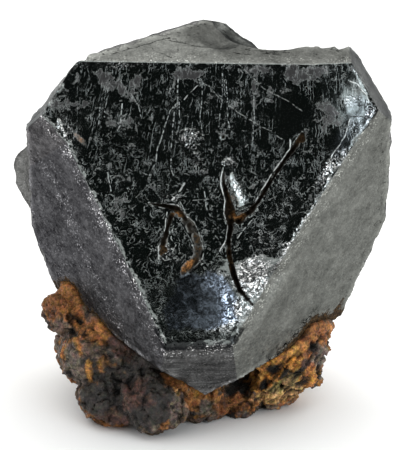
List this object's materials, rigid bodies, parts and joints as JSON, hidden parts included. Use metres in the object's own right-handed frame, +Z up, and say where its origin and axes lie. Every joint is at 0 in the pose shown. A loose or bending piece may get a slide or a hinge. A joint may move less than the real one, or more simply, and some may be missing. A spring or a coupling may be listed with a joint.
{
  "type": "ilmenite crystal specimen",
  "caption": "Stout black metallic crystal with a three-sided front face, bevelled faces and forked fissures, standing on lumpy rusty matrix.",
  "frame": {"origin": "middle of the box round the specimen, on the surface that it stands on", "axes": "+Z up, -Y towards the side that the big three-sided front face looks to, +X to the right of that face"},
  "size_m": [0.0416, 0.0296, 0.044],
  "materials": {
    "ilmenite": "polished on the front face, satin elsewhere",
    "rusty_rock": "rough, earthy"
  },
  "bodies": {
    "root": {"ilmenite_crystal": "ilmenite", "rusty_matrix": "rusty_rock"}
  },
  "joints": []
}
